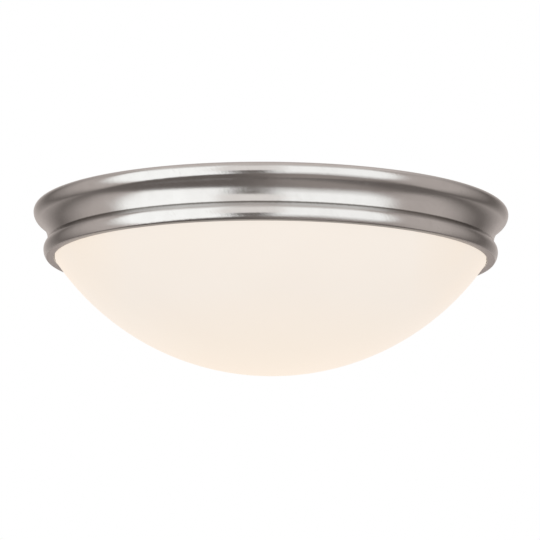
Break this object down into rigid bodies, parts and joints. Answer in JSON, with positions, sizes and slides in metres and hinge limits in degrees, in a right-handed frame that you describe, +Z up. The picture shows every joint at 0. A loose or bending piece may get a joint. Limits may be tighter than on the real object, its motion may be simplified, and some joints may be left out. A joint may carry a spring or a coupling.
{
  "type": "flush mount ceiling light",
  "caption": "Flush mount ceiling light: a round brushed steel ring with beaded edges holds a shallow opal glass bowl, with screw-in lamps inside.",
  "frame": {"origin": "centre of the light on the ceiling plane, midway between the two box screw slots", "axes": "+Z up into the ceiling, +X along the mounting bar and the lamps, +Y away from the picture's viewer"},
  "size_m": [0.3556, 0.3556, 0.124],
  "materials": {
    "brushed_steel_ring": "brushed in fine slanting lines, satin",
    "white_enamel": "baked white enamel, semi-gloss",
    "opal_glass": "opal white, satin outside, lit warm from inside",
    "spring_steel": "blued spring steel, satin",
    "zinc_steel": "bright zinc plate",
    "nickel_rivet": "nickel plate, satin",
    "lamp_alloy": "rolled, bright",
    "brass": "pressed, satin",
    "porcelain": "white glaze",
    "heat_pad": "needled glass fibre with a pale yellow binder",
    "bushing_nylon": "black nylon",
    "connector_plastic": "orange polypropylene, moulded ribs",
    "black_sleeving": "satin wire insulation",
    "white_sleeving": "satin wire insulation",
    "bare_copper": "drawn copper, dull",
    "lamp_glass": "frosted inside",
    "black_glass": "black glass insulator of the lamp's cap",
    "clear_glass": "clear, fire polished",
    "tungsten": "drawn wire, lit"
  },
  "bodies": {
    "fixture": {"trim_ring": "brushed_steel_ring", "inner_pan": "white_enamel", "ring_rivets": "nickel_rivet", "spring_clip_1": "spring_steel", "spring_clip_2": "spring_steel", "spring_clip_3": "spring_steel", "mounting_bar": "zinc_steel", "mounting_studs": "zinc_steel", "stud_nuts": "zinc_steel", "stud_washers": "zinc_steel", "cap_nuts": "nickel_rivet", "ground_screws": "zinc_steel", "ground_terminals": "zinc_steel", "ground_wire": "bare_copper", "insulation_pad": "heat_pad", "wire_bushing": "bushing_nylon", "wire_nut_live": "connector_plastic", "wire_nut_neutral": "connector_plastic", "lead_black_1": "black_sleeving", "lead_black_2": "black_sleeving", "lead_white_1": "white_sleeving", "lead_white_2": "white_sleeving", "bracket_rivets": "nickel_rivet", "socket_screws": "zinc_steel", "socket_bracket_1": "zinc_steel", "socket_body_1": "porcelain", "socket_shell_1": "brass", "socket_contact_1": "brass", "socket_bracket_2": "zinc_steel", "socket_body_2": "porcelain", "socket_shell_2": "brass", "socket_contact_2": "brass"},
    "glass": {"glass_dome": "opal_glass"},
    "lamp_1_travel": {"lamp_tip_1": "brass", "lamp_insulator_1": "black_glass"},
    "lamp_1_turn": {"lamp_cap_1": "lamp_alloy", "lamp_glass_1": "lamp_glass", "lamp_stem_1": "clear_glass", "lamp_wires_1": "tungsten", "lamp_filament_1": "tungsten"},
    "lamp_2_travel": {"lamp_tip_2": "brass", "lamp_insulator_2": "black_glass"},
    "lamp_2_turn": {"lamp_cap_2": "lamp_alloy", "lamp_glass_2": "lamp_glass", "lamp_stem_2": "clear_glass", "lamp_wires_2": "tungsten", "lamp_filament_2": "tungsten"}
  },
  "joints": [
    {"name": "glass_drop", "type": "slide", "parent": "fixture", "child": "glass", "axis": [0, 0, -1], "range_m": [0, 0.15], "deforming": ["spring_clip_1", "spring_clip_2", "spring_clip_3"]},
    {"name": "lamp_1_out", "type": "slide", "parent": "fixture", "child": "lamp_1_travel", "axis": [0.9903, 0, -0.1392], "range_m": [0, 0.01271]},
    {"name": "lamp_1_unscrew", "type": "hinge", "parent": "lamp_1_travel", "child": "lamp_1_turn", "pos_m": [-0.11, 0.034, -0.042], "axis": [0.9903, 0, -0.1392], "range_deg": [0, 1260]},
    {"name": "lamp_2_out", "type": "slide", "parent": "fixture", "child": "lamp_2_travel", "axis": [-0.9903, 0, -0.1392], "range_m": [0, 0.01271]},
    {"name": "lamp_2_unscrew", "type": "hinge", "parent": "lamp_2_travel", "child": "lamp_2_turn", "pos_m": [0.11, -0.034, -0.042], "axis": [-0.9903, 0, -0.1392], "range_deg": [0, 1260]}
  ],
  "couplings": [
    {"joint": "lamp_1_out", "follows": "lamp_1_unscrew", "m_per_rad": 0.00057757},
    {"joint": "lamp_2_out", "follows": "lamp_2_unscrew", "m_per_rad": 0.00057757}
  ]
}
